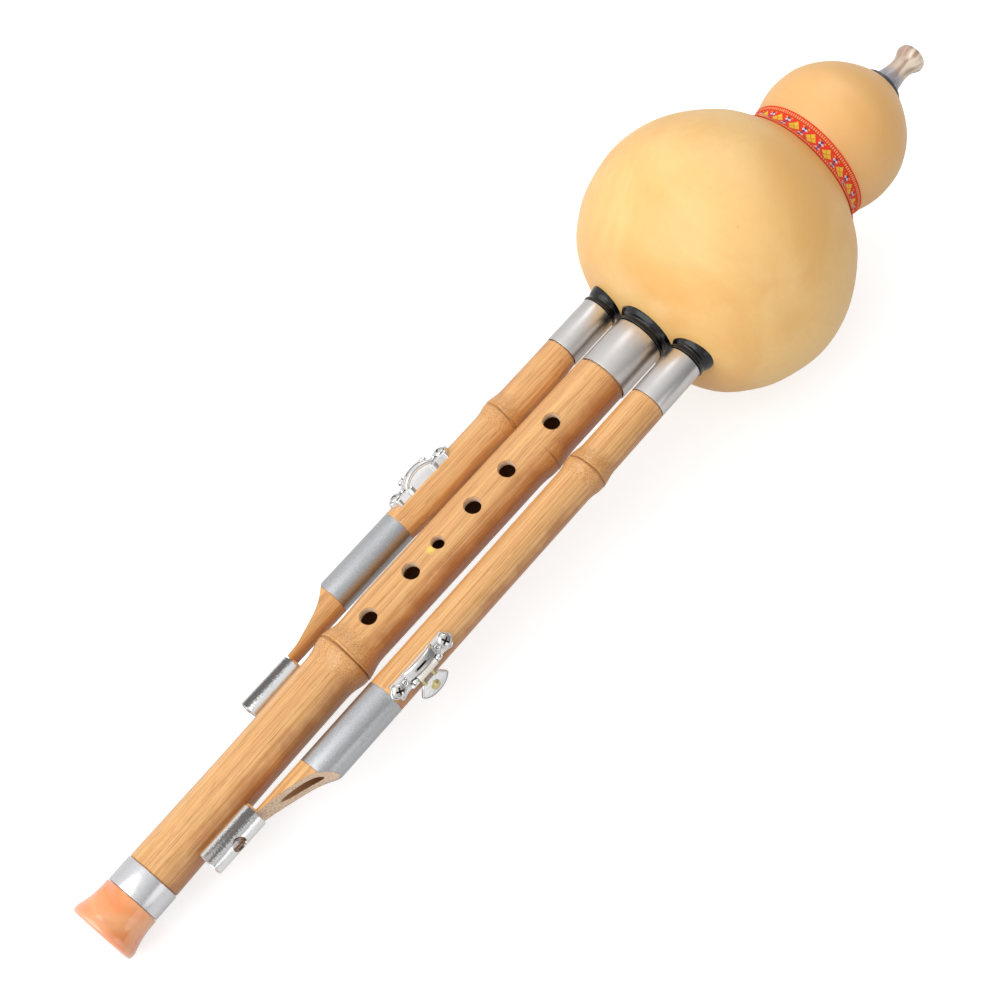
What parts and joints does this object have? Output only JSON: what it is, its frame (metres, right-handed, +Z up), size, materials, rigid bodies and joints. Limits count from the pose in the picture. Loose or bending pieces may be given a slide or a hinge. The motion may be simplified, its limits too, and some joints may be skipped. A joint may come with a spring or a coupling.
{
  "type": "hulusi",
  "caption": "Gourd flute with a fingered bamboo pipe, keyed drone pipes in metal sleeves, a flared agate-like bell and a woven band round the waist of the gourd.",
  "frame": {"origin": "centre of the bounding box at the table, under the instrument as it lies on its back", "axes": "+X runs from the bell to the mouthpiece, +Y to the left drone, +Z up out of the finger holes"},
  "size_m": [0.4592, 0.1116, 0.1111],
  "materials": {
    "bamboo": "golden bamboo with a satin lacquer",
    "gourd_skin": "dried gourd, waxed to a soft shine",
    "brushed_steel": "steel brushed round the tube",
    "polished_steel": "bright nickel plate",
    "satin_aluminium": "satin, lightly speckled",
    "black_resin": "glossy black",
    "agate_resin": "agate-like resin, slightly translucent",
    "horn": "cream horn with brown streaks",
    "dark_horn": "dark grey horn",
    "woven_ribbon": "woven braid, yellow flowers on red",
    "brass": "satin brass",
    "leather": "soft pad leather",
    "beeswax": "beeswax",
    "cane": "plain cane",
    "spring_steel": "spring wire"
  },
  "bodies": {
    "wind_chamber": {"gourd_shell": "gourd_skin", "waist_ribbon": "woven_ribbon", "mouthpiece_base": "dark_horn", "mouthpiece": "horn", "main_collar": "black_resin", "main_reed_tube": "cane", "main_reed": "brass", "main_wax_seal": "beeswax", "left_collar": "black_resin", "left_reed_tube": "cane", "left_reed": "brass", "left_wax_seal": "beeswax", "right_collar": "black_resin", "right_reed_tube": "cane", "right_reed": "brass", "right_wax_seal": "beeswax"},
    "main_voice": {"main_pipe": "bamboo", "main_ferrule": "brushed_steel", "end_ferrule": "polished_steel", "bell": "agate_resin"},
    "left_drone": {"left_drone_pipe": "bamboo", "left_ferrule": "brushed_steel", "left_sleeve": "satin_aluminium", "left_tail_tube": "polished_steel", "left_key_base": "polished_steel", "left_key_pin": "spring_steel", "left_key_spring": "spring_steel", "left_key_screw_lower": "polished_steel", "left_key_screw_upper": "polished_steel"},
    "left_key": {"left_key_lever": "polished_steel", "left_key_button": "brass", "left_key_pad": "leather"},
    "right_drone": {"right_drone_pipe": "bamboo", "right_ferrule": "brushed_steel", "right_sleeve": "satin_aluminium", "right_tail_tube": "polished_steel", "right_key_base": "polished_steel", "right_key_pin": "spring_steel", "right_key_spring": "spring_steel", "right_key_screw_lower": "polished_steel", "right_key_screw_upper": "polished_steel"},
    "right_key": {"right_key_lever": "polished_steel", "right_key_button": "brass", "right_key_pad": "leather"}
  },
  "joints": [
    {"name": "main_tuning_slide", "type": "slide", "parent": "wind_chamber", "child": "main_voice", "axis": [-0.9923, 0, -0.1236], "range_m": [0, 0.005]},
    {"name": "left_tuning_slide", "type": "slide", "parent": "wind_chamber", "child": "left_drone", "axis": [-0.9923, 0, -0.1236], "range_m": [0, 0.006]},
    {"name": "right_tuning_slide", "type": "slide", "parent": "wind_chamber", "child": "right_drone", "axis": [-0.9923, -0.0096, -0.1236], "range_m": [0, 0.006]},
    {"name": "left_key_hinge", "type": "hinge", "parent": "left_drone", "child": "left_key", "pos_m": [-0.03096, 0.02956, 0.0391], "axis": [-0.9923, 0, -0.1236], "range_deg": [0, 12], "stiffness_Nm_per_rad": 0.01, "springref_deg": -11.46},
    {"name": "right_key_hinge", "type": "hinge", "parent": "right_drone", "child": "right_key", "pos_m": [-0.0889, -0.03156, 0.043], "axis": [0.9923, 0.0096, 0.1236], "range_deg": [0, 12], "stiffness_Nm_per_rad": 0.01, "springref_deg": -11.46}
  ]
}
